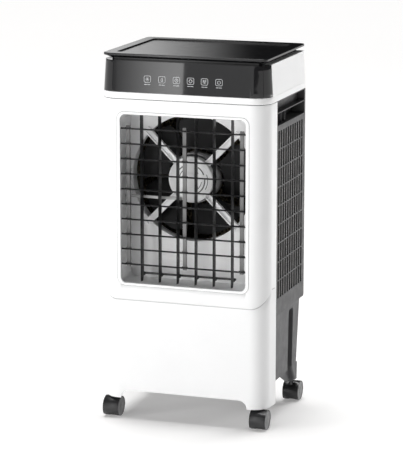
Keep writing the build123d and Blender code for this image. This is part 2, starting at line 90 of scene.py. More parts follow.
# ---- meshes ----
@dataclass
class Shape:
    """A mesh being worked out: points in millimetres and faces as lists of point numbers."""

    points: np.ndarray
    faces: list[tuple[int, ...]]

    def __add__(self, other: "Shape") -> "Shape":
        """Both shapes as one mesh, still as separate shells."""
        shift = len(self.points)
        moved = [tuple(i + shift for i in face) for face in other.faces]
        return Shape(np.vstack([self.points, other.points]), self.faces + moved)

    def moved(self, x: float = 0.0, y: float = 0.0, z: float = 0.0) -> "Shape":
        """The same shape carried along by a vector."""
        return Shape(self.points + np.array([x, y, z]), self.faces)

    def mirrored(self) -> "Shape":
        """The same shape seen in a mirror across X."""
        return Shape(self.points * np.array([-1, 1, 1]), self.faces)

    def turned(self, axis: str, degrees: float) -> "Shape":
        """The same shape turned about a main axis.

        Args:
            axis: "x", "y" or "z".
            degrees: right-handed angle.

        Returns:
            The turned shape.
        """
        a, b = {"x": (1, 2), "y": (2, 0), "z": (0, 1)}[axis]
        angle, out = math.radians(degrees), self.points.copy()
        out[:, a] = self.points[:, a] * math.cos(angle) - self.points[:, b] * math.sin(angle)
        out[:, b] = self.points[:, a] * math.sin(angle) + self.points[:, b] * math.cos(angle)
        return Shape(out, self.faces)


def join(shapes: Iterable[Shape]) -> Shape:
    """Many shapes as one."""
    first, *rest = shapes
    return sum(rest, first)


def grid_faces(rows: int, columns: int, wrap: bool) -> list[tuple[int, ...]]:
    """Quads between neighbouring rows of points.

    Args:
        rows: number of rows.
        columns: points in each row.
        wrap: whether each row closes on itself.

    Returns:
        The quads, each as four point numbers.
    """
    across = columns if wrap else columns - 1
    r, c = np.meshgrid(np.arange(rows - 1), np.arange(across), indexing="ij")
    a, n = r * columns + c, (c + 1) % columns
    quads = np.stack([a, r * columns + n, (r + 1) * columns + n, a + columns], -1)
    return [tuple(int(i) for i in q) for q in quads.reshape(-1, 4)]


def loft(rings: np.ndarray, closed: bool = False) -> Shape:
    """Skin over closed rings of points, with both end rings filled, or joined when closed.

    Args:
        rings: array of ring, point, coordinate.
        closed: whether the last ring joins the first, as on a hoop.

    Returns:
        The skinned shape.
    """
    rows, columns, _ = rings.shape
    faces = grid_faces(rows, columns, True)
    last = (rows - 1) * columns
    if closed:
        for i in range(columns):
            after = (i + 1) % columns
            faces.append((last + i, last + after, after, i))
    else:
        faces.append(tuple(range(columns - 1, -1, -1)))
        faces.append(tuple(last + i for i in range(columns)))
    return Shape(rings.reshape(-1, 3), faces)


def outline(half_x: float, half_y: float, radius: float, steps: int = 10) -> np.ndarray:
    """Rounded rectangle round the origin, anticlockwise from the right-hand low corner.

    Each corner is an arc of equal steps; the points are centre + radius * (cos, sin).

    Args:
        half_x: half the width.
        half_y: half the height.
        radius: corner radius.
        steps: steps in each corner's arc.

    Returns:
        Array of point, coordinate.
    """
    corners = []
    for k, (sx, sy) in enumerate(((1, -1), (1, 1), (-1, 1), (-1, -1))):
        angle = np.radians(-90 + 90 * k + np.linspace(0, 90, steps + 1))
        centre = np.array([sx * (half_x - radius), sy * (half_y - radius)])
        corners.append(centre + radius * np.stack([np.cos(angle), np.sin(angle)], -1))
    return np.vstack(corners)


def slab(x: Sequence[float], y: Sequence[float], z: Sequence[float], radius: float,
         along: str = "y") -> Shape:
    """Block between limits with all its edges rounded, skinned from rounded rectangles.

    The edge's section is a quarter round: radius * (1 - cos t) inwards, radius * (1 - sin t) down.

    Args:
        x, y, z: lowest and highest on each axis.
        radius: edge radius.
        along: the axis that the rings are stacked on.

    Returns:
        The block.
    """
    limit = {"x": x, "y": y, "z": z}
    order = {"x": ("y", "z", "x"), "y": ("z", "x", "y"), "z": ("x", "y", "z")}[along]
    half = [(limit[name][1] - limit[name][0]) / 2 for name in order]
    middle = [(limit[name][1] + limit[name][0]) / 2 for name in order]
    t = np.radians(np.linspace(0, 90, 3))
    bend = list(zip(radius * (1 - np.cos(t)), radius * (1 - np.sin(t))))
    stack = [(inset, -half[2] + drop) for inset, drop in bend[::-1]]
    stack += [(inset, half[2] - drop) for inset, drop in bend]
    rings = []
    for inset, level in stack:
        flat = outline(half[0] - inset, half[1] - inset, max(radius - inset, 0.02), 2)
        ring = np.column_stack([flat, np.full(len(flat), level)])
        rings.append(ring + np.array(middle))
    return loft(np.array(rings)[:, :, [order.index(name) for name in "xyz"]])


def lathe(profile: Sequence[Sequence[float]], along: str, steps: int = 64) -> Shape:
    """Turned shape: a profile of (radius, distance) carried round an axis through the origin.

    Args:
        profile: points from one end's axis to the other end's.
        along: "x", "y" or "z".
        steps: points round the axis.

    Returns:
        The turned shape.
    """
    angle = np.linspace(0, 2 * math.pi, steps, endpoint=False)
    rings = []
    for radius, distance in profile:
        cos, sin, level = radius * np.cos(angle), radius * np.sin(angle), np.full(steps, distance)
        ring = {"x": (level, cos, sin), "y": (sin, level, cos), "z": (cos, sin, level)}[along]
        rings.append(np.column_stack(ring))
    return loft(np.array(rings))


def new_piece(name: str, shape: Shape, finish: "Finish", body: str,
              sharp: float) -> bpy.types.Object:
    """Turns a shape into a piece of the object, in metres, riding on a body.

    Args:
        name: the piece's name.
        shape: its mesh in millimetres.
        finish: what it is made of.
        body: the body that carries it.
        sharp: edges that bend by more degrees than this stay crisp.

    Returns:
        The new object.
    """
    mesh = bpy.data.meshes.new(name)
    mesh.from_pydata((shape.points * MM).tolist(), [], shape.faces)
    work = bmesh.new()
    work.from_mesh(mesh)
    bmesh.ops.remove_doubles(work, verts=work.verts, dist=MERGE)
    bmesh.ops.dissolve_degenerate(work, dist=NO_LENGTH, edges=work.edges)
    bmesh.ops.recalc_face_normals(work, faces=work.faces)
    work.to_mesh(mesh)
    work.free()
    mesh.shade_smooth()
    mesh.set_sharp_from_angle(angle=math.radians(sharp))
    piece = bpy.data.objects.new(name, mesh)
    bpy.context.scene.collection.objects.link(piece)
    mesh.materials.append(finish.material())
    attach(piece, body)
    LOG.info("%s: %d faces on %s", name, len(mesh.polygons), body)
    return piece


# ---- finishes ----
def set_range(node: bpy.types.Node, *values: float) -> None:
    """Sets the four limits of a range node: from low and high, to low and high."""
    for key, value in zip(RANGE_SOCKETS, values):
        node.inputs[key].default_value = value


class Tree:
    """Short hand for building a material's nodes."""

    def __init__(self, name: str) -> None:
        """Makes an empty material with a surface shader.

        Args:
            name: the material's name.
        """
        self.material = bpy.data.materials.new(name)
        self.material.use_nodes = True
        self.nodes = self.material.node_tree.nodes
        self.links = self.material.node_tree.links
        self.shader = self.nodes["Principled BSDF"]
        self.place = self.nodes.new("ShaderNodeTexCoord").outputs["Object"]

    def set(self, **values: float | tuple[float, ...]) -> None:
        """Sets the shader's own sockets, named with underscores for spaces."""
        for key, value in values.items():
            self.shader.inputs[key.replace("_", " ")].default_value = value

    def mapped(self, **values: tuple[float, ...]) -> Socket:
        """The object's own coordinates, turned or stretched by the values given."""
        mapping = self.nodes.new("ShaderNodeMapping")
        for key, value in values.items():
            mapping.inputs[key].default_value = value
        self.links.new(self.place, mapping.inputs["Vector"])
        return mapping.outputs["Vector"]

    def noise(self, scale: float, detail: float, source: Socket | None = None) -> Socket:
        """Cloudy noise on the object's own coordinates, or on those given."""
        texture = self.nodes.new("ShaderNodeTexNoise")
        texture.inputs["Scale"].default_value = scale
        texture.inputs["Detail"].default_value = detail
        self.links.new(source or self.place, texture.inputs["Vector"])
        return texture.outputs["Fac"]

    def wave(self, scale: float, direction: str, distortion: float, source: Socket) -> Socket:
        """Even bands that follow one another along an axis."""
        texture = self.nodes.new("ShaderNodeTexWave")
        texture.bands_direction = direction
        texture.inputs["Scale"].default_value = scale
        texture.inputs["Distortion"].default_value = distortion
        self.links.new(source, texture.inputs["Vector"])
        return texture.outputs["Fac"]

    def highest(self, first: Socket, second: Socket) -> Socket:
        """The greater of two values."""
        node = self.nodes.new("ShaderNodeMath")
        node.operation = "MAXIMUM"
        self.links.new(first, node.inputs[0])
        self.links.new(second, node.inputs[1])
        return node.outputs["Value"]

    def ramp(self, source: Socket, low: float, high: float, a: float, b: float) -> Socket:
        """Maps the range from low to high onto the one from a to b."""
        node = self.nodes.new("ShaderNodeMapRange")
        set_range(node, low, high, a, b)
        self.links.new(source, node.inputs["Value"])
        return node.outputs["Result"]

    def blend(self, source: Socket, first: Sequence[float], second: Sequence[float]) -> Socket:
        """Mixes two colours by a value."""
        node = self.nodes.new("ShaderNodeMix")
        node.data_type = "RGBA"
        node.inputs["A"].default_value = (*first, 1)
        node.inputs["B"].default_value = (*second, 1)
        self.links.new(source, node.inputs["Factor"])
        return node.outputs["Result"]

    def bump(self, source: Socket, height: float, before: Socket | None = None) -> Socket:
        """Relief from a value, of a height in metres, on top of an earlier relief if given."""
        node = self.nodes.new("ShaderNodeBump")
        node.inputs["Distance"].default_value = height
        node.inputs["Strength"].default_value = 1.0
        self.links.new(source, node.inputs["Height"])
        if before is not None:
            self.links.new(before, node.inputs["Normal"])
        return node.outputs["Normal"]

    def to(self, socket: str, source: Socket) -> None:
        """Links a value to one of the shader's sockets."""
        self.links.new(source, self.shader.inputs[socket])


@dataclass(frozen=True)
class Finish:
    """A moulded plastic: colour with slow unevenness, fine grain, roughness that varies."""

    name: str
    slot: str
    colour: tuple[float, float, float]
    roughness: float = 0.4
    uneven: float = 0.06
    grain_scale: float = 1500.0
    grain_height: float = 0.00002
    coat: float = 0.0
    metallic: float = 0.0
    ior: float = 1.5
    patch_scale: float = 9.0
    smear_scale: float = 60.0
    smear: tuple[float, float] = (0.88, 1.15)

    def material(self) -> bpy.types.Material:
        """The material of this finish, made once."""
        known = bpy.data.materials.get(self.name)
        if known:
            return known
        tree = Tree(self.name)
        tree.set(Metallic=self.metallic, IOR=self.ior, Coat_Weight=self.coat, Coat_Roughness=0.04)
        self.dress(tree)
        return tree.material

    def shade(self, factor: float) -> tuple[float, ...]:
        """The finish's colour, darker or lighter by a factor."""
        return tuple(min(c * factor, 1.0) for c in self.colour)

    def dress(self, tree: Tree) -> None:
        """Adds the colour, roughness and relief of plain moulded plastic."""
        patches = tree.ramp(tree.noise(self.patch_scale, 4.0), 0.35, 0.65, 0, 1)
        dark, light = self.shade(1 - self.uneven), self.shade(1 + self.uneven)
        tree.to("Base Color", tree.blend(patches, dark, light))
        low, high = (self.roughness * factor for factor in self.smear)
        tree.to("Roughness", tree.ramp(tree.noise(self.smear_scale, 5.0), 0.3, 0.7, low, high))
        tree.to("Normal", tree.bump(tree.noise(self.grain_scale, 2.0), self.grain_height))


@dataclass(frozen=True)
class FlutedPaper(Finish):
    """Crossed fluted cellulose sheets: waves that slant two ways, with painted shade in their
    troughs, fibrous and damp.
    """

    lean: float = 0.8
    wave_scale: float = 42.0
    flute_height: float = 0.002
    fibre_height: float = 0.0002

    def dress(self, tree: Tree) -> None:
        """Adds slanting flutes that change their lean from layer to layer, painted shade darkening
        their troughs, and fibres.
        """
        waves = [tree.wave(self.wave_scale, "Z", 0.4, tree.mapped(Rotation=(lean, lean, 0)))
                 for lean in (-self.lean, self.lean)]
        flutes = tree.highest(*waves)
        depth = tree.ramp(flutes, 0.25, 0.95, 0, 1)
        # painted shade: the flute troughs are coloured darker, down to 0.35 of the colour
        tree.to("Base Color", tree.blend(depth, self.shade(0.35), self.colour))
        low, high = self.roughness - 0.1, self.roughness + 0.1
        tree.to("Roughness", tree.ramp(tree.noise(220.0, 5.0), 0.3, 0.7, low, high))
        fibres = tree.noise(900.0, 4.0, tree.mapped(Scale=(1, 1, 0.2)))
        relief = tree.bump(fibres, self.fibre_height)
        tree.to("Normal", tree.bump(flutes, self.flute_height, relief))


@dataclass(frozen=True)
class WovenMesh(Finish):
    """Fine filter mesh: threads crossing at a set pitch, with painted shade in the holes between
    them.
    """

    pitch: float = 0.0018
    bands_per_unit: float = 3.18

    def dress(self, tree: Tree) -> None:
        """Adds crossing threads, their relief, and painted shade in the holes."""
        scale = 1.0 / self.pitch / self.bands_per_unit
        threads = [tree.wave(scale, direction, 0.0, tree.place) for direction in ("X", "Z")]
        weave = tree.ramp(tree.highest(*threads), 0.55, 0.9, 0, 1)
        # painted shade: the holes between the threads are coloured dark
        tree.to("Base Color", tree.blend(weave, self.shade(0.2), self.colour))
        tree.to("Roughness", tree.ramp(weave, 0, 1, 0.9, self.roughness))
        tree.to("Normal", tree.bump(weave, 0.0004))


@dataclass(frozen=True)
class CircuitBoard(Finish):
    """Green solder mask over copper tracks that run square to each other."""

    track_scale: float = 160.0
    track_tint: tuple[float, float, float] = (2.5, 1.8, 2.0)

    def dress(self, tree: Tree) -> None:
        """Adds paler tracks where square cells' edges run, and a slight relief."""
        cells = tree.nodes.new("ShaderNodeTexVoronoi")
        cells.distance = "CHEBYCHEV"
        cells.feature = "F2"
        cells.inputs["Scale"].default_value = self.track_scale
        tree.links.new(tree.place, cells.inputs["Vector"])
        tracks = tree.ramp(cells.outputs["Distance"], 0.55, 0.75, 0, 1)
        pale = tuple(c * tint for c, tint in zip(self.colour, self.track_tint))
        tree.to("Base Color", tree.blend(tracks, self.colour, pale))
        tree.to("Roughness", tree.ramp(tree.noise(300.0, 3.0), 0.3, 0.7, 0.25, 0.45))
        tree.to("Normal", tree.bump(tracks, 0.00005))


WHITE = Finish("white_moulding", "white_shell", (0.87, 0.873, 0.876), 0.34, 0.01, 900, 6e-6, 0.05)
# a lighter copy of the white moulding for the outlet frame, fan shroud and motor bracket: painted
# light that lifts the shade inside the outlet tunnel
LIFTED_INNER_WHITE = Finish("white_inner_moulding_painted_light", "white_shell", (0.94, 0.942, 0.945), 0.42, 0.01,
                     900, 6e-6)
PANEL_BLACK = Finish("gloss_black_panel", "panel_gloss_black", (0.010, 0.010, 0.011), 0.03, 0.1,
                     700, 2e-7)
LID_BLACK = Finish("satin_black_lid", "lid_black", (0.012, 0.012, 0.013), 0.16, 0.1, 1600, 2e-6)
SIDE_GREY = Finish("textured_grey_side", "side_grey", (0.065, 0.065, 0.067), 0.5, 0.06, 1900, 4e-5)
TANK_GREY = Finish("textured_grey_tank", "tank_grey", (0.085, 0.085, 0.088), 0.5, 0.06, 1900, 4e-5)
LOUVRE_DARK = Finish("dark_louvre", "louvre_dark", (0.02, 0.02, 0.021), 0.38, 0.08)
TIE_GREY = Finish("grey_tie_bar", "tie_grey", (0.15, 0.15, 0.15), 0.4, 0.08)
FAN_BLACK = Finish("black_fan", "fan_black", (0.005, 0.005, 0.0055), 0.40, 0.1, ior=1.3)
MOTOR_PAINT = Finish("painted_motor", "motor_metal", (0.18, 0.18, 0.19), 0.42, 0.1, 600, 3e-5,
                     0.1, 0.3)
STEEL = Finish("plated_steel", "steel", (0.55, 0.55, 0.56), 0.3, 0.05, 1200, 1e-5, metallic=1.0)
BOARD = CircuitBoard("circuit_board", "board_green", (0.02, 0.1, 0.04), 0.4, 0.2)
FILTER = WovenMesh("filter_weave", "filter_mesh", (0.05, 0.05, 0.052), 0.6, 0.1)
PAD = FlutedPaper("fluted_paper", "pad_fibre", (0.20, 0.17, 0.11), 0.85, 0.15)
PUMP_BLACK = Finish("black_fitting", "pump_black", (0.015, 0.015, 0.016), 0.4, 0.1)
HOSE = Finish("vinyl_hose", "hose_clear", (0.45, 0.46, 0.44), 0.25, 0.05)
HOOD = Finish("satin_black_hood", "hood_black", (0.016, 0.016, 0.017), 0.3, 0.1, 900, 4e-6, 0.15)
# the plated steel made darker and less metallic for the caster stems
STEM = Finish("darkened_steel_stem", "steel", (0.10, 0.10, 0.105), 0.42, 0.08, 1200, 1e-5, metallic=0.6)
WHEEL = Finish("grey_wheel", "wheel_grey", (0.21, 0.21, 0.213), 0.38, 0.08)
# grey of the painted shadow lines round the outlet's lip and in the fold inside it
SHADOW_LINE_GREY = Finish("painted_shadow_line_grey", "white_shell", (0.34, 0.34, 0.345), 0.6, 0.03)
# grey of the painted shadow ribbon in the fold under the front step
FOLD_SHADOW_GREY = Finish("painted_fold_shadow", "white_shell", (0.50, 0.50, 0.505), 0.5, 0.02)
LINK_GREY = Finish("pale_grey_link", "tie_grey", (0.42, 0.42, 0.42), 0.4, 0.05)
PRINT = Finish("pale_print", "white_shell", (0.56, 0.57, 0.58), 0.5, 0.03)
HUB_GREY = Finish("grey_fan_cup", "tie_grey", (0.30, 0.30, 0.305), 0.36, 0.06)
# dark grey for the painted vent and screw well shade and the dashes on the motor cover
MARK_AND_VENT_SHADE_GREY = Finish("dark_marks_painted_vent_shade", "tie_grey", (0.13, 0.13, 0.13), 0.55, 0.05)
FINISHES = {finish.slot: finish for finish in (
    WHITE, PANEL_BLACK, LID_BLACK, SIDE_GREY, TANK_GREY, LOUVRE_DARK, TIE_GREY, FAN_BLACK,
    MOTOR_PAINT, STEEL, BOARD, FILTER, PAD, PUMP_BLACK, HOSE, HOOD, WHEEL)}


# ---- strokes and prints ----
def stroke(path: np.ndarray, width: float, closed: bool = False, depth: float = 0.25) -> Shape:
    """Flat line of constant width along a drawn path.

    At each point the two directions that meet there are averaged, and their normal, lengthened by
    the mitre, carries half the width to either side. The line lies in X and Z and is as deep as
    asked along Y.

    Args:
        path: array of point, (x, z).
        width: width of the line.
        closed: whether the path returns to its start.
        depth: thickness along Y, from y = 0 backwards.

    Returns:
        The line as a closed prism.
    """
    ahead = np.roll(path, -1, 0) - path
    behind = path - np.roll(path, 1, 0)
    if not closed:
        ahead[-1], behind[0] = behind[-1], ahead[0]
    ahead /= np.linalg.norm(ahead, axis=1, keepdims=True)
    behind /= np.linalg.norm(behind, axis=1, keepdims=True)
    along = ahead + behind
    along /= np.linalg.norm(along, axis=1, keepdims=True)
    normal = np.stack([-along[:, 1], along[:, 0]], -1)
    mitre = 1 / np.maximum((along * ahead).sum(1, keepdims=True), 0.4)
    side = normal * mitre * width / 2
    front, back = np.zeros(len(path)), np.full(len(path), depth)
    corners = [(path + side, front), (path - side, front), (path - side, back), (path + side, back)]
    rings = [np.stack([flat[:, 0], level, flat[:, 1]], -1) for flat, level in corners]
    return loft(np.stack(rings, 1), closed)


def line(points: Sequence[Sequence[float]], width: float) -> Shape:
    """Flat line through a few points."""
    return stroke(np.array(points, float), width)


def arc(radius: float, start: float, end: float, centre: Sequence[float] = (0.0, 0.0),
        steps: int = 24) -> np.ndarray:
    """Points centre + radius * (cos, sin) between two angles in degrees."""
    angle = np.radians(np.linspace(start, end, steps))
    return np.array(centre) + radius * np.stack([np.cos(angle), np.sin(angle)], -1)


def polar(radius: float, degrees: float) -> tuple[float, float]:
    """The point at a radius and an angle round the origin."""
    angle = math.radians(degrees)
    return radius * math.cos(angle), radius * math.sin(angle)


class Symbol(Enum):
    """The touch keys' generic pictograms, from left to right."""

    COOL = "snow star"
    WATER = "drop"
    TIMER = "clock"
    FAN = "four blades"
    SWING = "waves"
    POWER = "ring and bar"


@dataclass
class OutletShadowLines:
    """Painted shadow lines: a grey line laid over the gap between the front skin and the outlet's
    lip, and one in the fold inside the lip.
    """

    body: str = "cabinet"
    outer: tuple[float, float, float] = (141.4, 180.4, 16.4)
    outer_width: float = 0.8
    outer_depth: float = 0.5
    proud: float = 0.06
    inner: tuple[float, float, float] = (133.75, 174.75, 11.3)
    inner_width: float = 1.2
    inner_set_back: float = 2.4

    def build(self) -> None:
        """Lays one painted shadow line round the lip and one inside its mouth."""
        face = limits("front_shell")[0][1]
        low, high = limits("outlet_frame")
        level = (low[2] + high[2]) / 2
        # painted shade: grey strokes stand in for the shadow in the seam round the lip and in the
        # fold inside it
        gap = stroke(outline(*self.outer, 12), self.outer_width, True, self.outer_depth)
        fold = stroke(outline(*self.inner, 12), self.inner_width, True, self.inner_width)
        lines = gap.moved(0, face - self.proud, level)
        lines += fold.moved(0, face + self.inner_set_back, level)
        new_piece("outlet_shadow_lines", lines, SHADOW_LINE_GREY, self.body, 30)


@dataclass
class TouchKeys:
    """Row of printed pictograms on the leaning black band, each over two plain dashes."""

    body: str = "cabinet"
    places: tuple[float, ...] = (-75.0, -44.0, -13.0, 17.0, 46.5, 77.0)
    level: float = 715.6
    caption_drop: float = 10.6
    dashes: tuple[tuple[float, float], ...] = ((-6.3, -1.1), (-0.1, 6.3))
    dash_width: float = 1.15
    half: tuple[float, float] = (7.0, 6.4)
    corner: float = 2.8
    line_width: float = 0.85
    band_foot: float = 687.0
    band_height: float = 64.0
    band_lean: float = 4.0
    proud: float = 0.12

    def glyph(self, symbol: Symbol) -> list[Shape]:
        """The lines of one pictogram, drawn round the origin.

        The star is three crossed spokes, the drop is x = 2.5 sin t sin(t / 2), z = 3.3 cos t, and
        a wave is z = 0.9 sin of one and a half turns.

        Args:
            symbol: which pictogram.

        Returns:
            Its lines as flat prisms.
        """
        w = self.line_width
        if symbol is Symbol.COOL:
            return [line([polar(3.7, a), polar(-3.7, a)], w) for a in (0, 60, 120)]
        if symbol is Symbol.WATER:
            t = np.linspace(0, 2 * math.pi, 25)[1:-1]
            drop = np.stack([2.5 * np.sin(t) * np.sin(t / 2), 3.3 * np.cos(t)], -1)
            return [stroke(drop, w, True)]
        if symbol is Symbol.TIMER:
            return [stroke(arc(3.5, 0, 345), w, True), line([(0, 2.2), (0, 0), (1.7, -0.9)], w)]
        if symbol is Symbol.FAN:
            return [stroke(arc(1.75, a - 120, a + 80, polar(1.85, a), 10), w)
                    for a in (0, 90, 180, 270)]
        if symbol is Symbol.SWING:
            x, turn = np.linspace(-3.8, 3.8, 19), np.linspace(0, 3 * math.pi, 19)
            return [stroke(np.stack([x, 0.9 * np.sin(turn) + rise], -1), w)
                    for rise in (-2.4, 0.0, 2.4)]
        return [stroke(arc(3.3, 125, 415), w), line([(0, 0.6), (0, 4.2)], w)]

    def build(self) -> None:
        """Places the six pictograms, their frames and dashes on the band."""
        lines = []
        for x, symbol in zip(self.places, Symbol):
            border = stroke(outline(*self.half, self.corner, 6), self.line_width, True)
            lines += [shape.moved(x, 0, self.level) for shape in (border, *self.glyph(symbol))]
            for start, end in self.dashes:
                dash = line([(start, 0), (end, 0)], self.dash_width)
                lines.append(dash.moved(x, 0, self.level - self.caption_drop))
        keys = join(lines)
        up = (keys.points[:, 2] - self.band_foot) / self.band_height
        keys.points[:, 1] += limits("front_shell")[0][1] + self.band_lean * up - self.proud
        new_piece("touch_keys", keys, PRINT, self.body, 25)


# ---- fan ----
@dataclass
class Fan:
    """Axial fan with wide twisted blades on a ribbed grey cup."""

    body: str = "fan"
    radius: float = 123.6
    hub: float = 52.0
    blades: int = 5
    ribs: int = 15
    half_span: float = 33.0
    sweep: float = 10.0
    depth: float = 29.0
    bow: float = 3.4
    thickness: float = 1.3
    edge: float = 0.12
    corner_draw: float = 9.0
    blade_shift: float = 2.0
    cup_shift: float = 19.0
    rib_reach: tuple[float, float] = (-12.0, 16.0)

    def blade(self) -> Shape:
        """One blade, pointing along +X from the origin.

        At a radius r and a place v across it, from -1 to 1, the angle is a sweep that grows
        outwards plus the half span times v, and the depth falls with v, less at the tip, with a
        bow of v squared. The two faces stand apart by a thickness that closes as the root of
        1 - v^6. The tip's corners are drawn in with v^6.
        """
        r = np.linspace(self.hub - 2.0, self.radius, 18)[:, None]
        v = np.linspace(-1, 1, 21)[None, :]
        t = (r - self.hub) / (self.radius - self.hub)
        angle = np.radians(self.sweep * t**1.3 + (self.half_span - 1.5 * t) * v)
        reach = r - self.corner_draw * t**4 * v**6 * (1 + 0.6 * v)
        level = -self.depth / 2 * v * (1 - 0.28 * t) + self.bow * (v**2 - 0.4) * t
        thick = self.thickness * (1 - 0.35 * t) * np.sqrt(np.maximum(1 - v**6, 0.0)) + self.edge
        x, z = reach * np.cos(angle), reach * np.sin(angle)
        near, far = (np.stack([x, level + sign * thick, z], -1) for sign in (-1, 1))
        return loft(np.concatenate([near, far[:, ::-1]], 1))

    def cup(self) -> Shape:
        """The hub's cup, turned about Y with its open side to the front, and its ribs."""
        h, (low, high) = self.hub, self.rib_reach
        cup = lathe([(ON_AXIS, -4), (10, -4), (11, -6), (44, -6), (h - 3, -9), (h - 3, -36.4),
                     (h - 2.4, -38), (h - 0.8, -38), (h, -37), (h, -3), (h - 1, -1), (h - 3.5, 0),
                     (13, 0), (12, 3), (ON_AXIS, 3)], "y", 96).moved(0, self.cup_shift, 0)
        rib = slab((h - 0.6, h + 0.35), (low, high), (-0.8, 0.8), 0.3)
        return cup + join(rib.turned("y", 360 / self.ribs * k) for k in range(self.ribs))

    def build(self) -> None:
        """Makes the blades and the cup on the fan's axis."""
        x, y, z = joint_place("fan_spin")
        blade = self.blade()
        ring = join(blade.turned("y", 360 / self.blades * k) for k in range(self.blades))
        wheel = new_piece("fan_blades", ring.moved(x, y + self.blade_shift, z), FAN_BLACK,
                          self.body, 50)
        cup = new_piece("fan_cup", self.cup().moved(x, y, z), HUB_GREY, self.body, 40)
        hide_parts("fan_impeller")
        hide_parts("fan_impeller")


@dataclass
class MotorCover:
    """Crowned white disc over the motor, with a rim groove, and painted shade for its vent slots
    and screw wells.

    A vent is given by its radius, its two angles and its width.
    """

    body: str = "cabinet"
    radius: float = 48.0
    depth: float = 6.0
    vents: tuple[tuple[float, float, float, float], ...] = (
        (31, -62, 8, 2.6), (31, 22, 58, 2.6), (24, -50, -8, 1.6), (37, -30, 20, 1.6),
        (31, 116, 150, 2.6), (24, 126, 168, 1.6))
    wells: tuple[float, ...] = (45.0, 135.0, 225.0, 315.0)
    well_reach: float = 20.0
    proud: float = 0.02

    def disc(self) -> Shape:
        """The disc, turned about Y with its crown to the front."""
        r, back = self.radius, self.depth
        return lathe([(ON_AXIS, back), (r - 1, back), (r, back - 1), (r, 3.4), (r - 0.8, 1.7),
                      (r - 2.4, 0.75), (r - 5, 0.5), (r - 5.6, 0.95), (r - 6.6, 0.95),
                      (r - 7.2, 0.42), (r - 20, 0.12), (16, 0.04), (15.4, 0.5), (14.4, 0.5),
                      (13.8, 0.0), (ON_AXIS, 0.0)], "y", 128)

    def marks(self) -> Shape:
        """Painted shade for the vent slots and the rims of the screw wells, and two dark dashes,
        laid on the crown's fall.
        """
        marks = [stroke(arc(radius, start, end), width) for radius, start, end, width in self.vents]
        marks += [line([(-11.0, z), (-5.5, z)], 1.1) for z in (-26.0, -29.0)]
        marks += [stroke(arc(1.9, 0, 345, polar(self.well_reach, a), 18), 1.5, True)
                  for a in self.wells]
        dark = join(marks)
        spread = np.hypot(dark.points[:, 0], dark.points[:, 2])
        dark.points[:, 1] += np.interp(spread, [0, 16, 28, 41], [0.0, 0.04, 0.12, 0.42])
        return dark

    def build(self) -> None:
        """Puts the disc and its painted vent shade on the fan's axis."""
        x, _, z = joint_place("fan_spin")
        y = limits("motor_cover")[0][1]
        cover = new_piece("motor_cover_disc", self.disc().moved(x, y, z), WHITE, self.body, 30)
        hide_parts("motor_cover")
        # painted shade: dark strokes stand in for the vent slots and screw wells, which the disc
        # does not cut
        marks = self.marks().moved(x, y - self.proud, z)
        new_piece("motor_cover_vent_shade_marks", marks, MARK_AND_VENT_SHADE_GREY, self.body, 25)


@dataclass
class Screws:
    """Pan-head screws with a cross recess, of the shroud and of the rear cover."""

    body: str = "cabinet"
    radius: float = 3.5
    height: float = 1.8
    recess: float = 0.9
    cross_half: float = 0.42
    cross_reach: float = 2.0
    shroud_x: float = 140.0
    shroud_levels: tuple[float, ...] = (285.0, 649.0)
    cover_x: float = 150.0
    cover_levels: tuple[float, ...] = (300.0, 450.0, 600.0)

    def screw(self) -> Shape:
        """Domed head whose middle dips as a cross.

        At a radius r and an angle a the height falls as the cube of r. It dips by the recess where
        the distance to the nearer of two square lines is under half the cross's width and r is
        inside its reach, with both limits eased by 1 / (1 + e^x).
        """
        r = np.linspace(0.02, self.radius, 12)[:, None]
        a = np.linspace(0, 2 * math.pi, 48, endpoint=False)[None, :]
        arm = np.minimum(np.abs(r * np.sin(a)), np.abs(r * np.cos(a)))
        dip = 1 / (1 + np.exp((arm - self.cross_half) * 14))
        dip = dip / (1 + np.exp((r - self.cross_reach) * 9))
        level = self.height * (1 - 0.55 * (r / self.radius) ** 3) - self.recess * dip
        top = np.stack([r * np.cos(a), level, r * np.sin(a)], -1)
        foot = top[-1:] * np.array([1, 0, 1])
        return loft(np.concatenate([foot, top[::-1]], 0))

    def build(self) -> None:
        """Places every screw."""
        head = self.screw()
        shroud_y, cover_y = limits("screws")[0][1], limits("rear_cover")[1][1]
        heads = [head.moved(side * self.shroud_x, shroud_y, z)
                 for side in (-1, 1) for z in self.shroud_levels]
        heads += [head.moved(side * self.cover_x, cover_y, z)
                  for side in (-1, 1) for z in self.cover_levels]
        piece = new_piece("screw_heads", join(heads), STEEL, self.body, 40)
        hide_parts("screws")


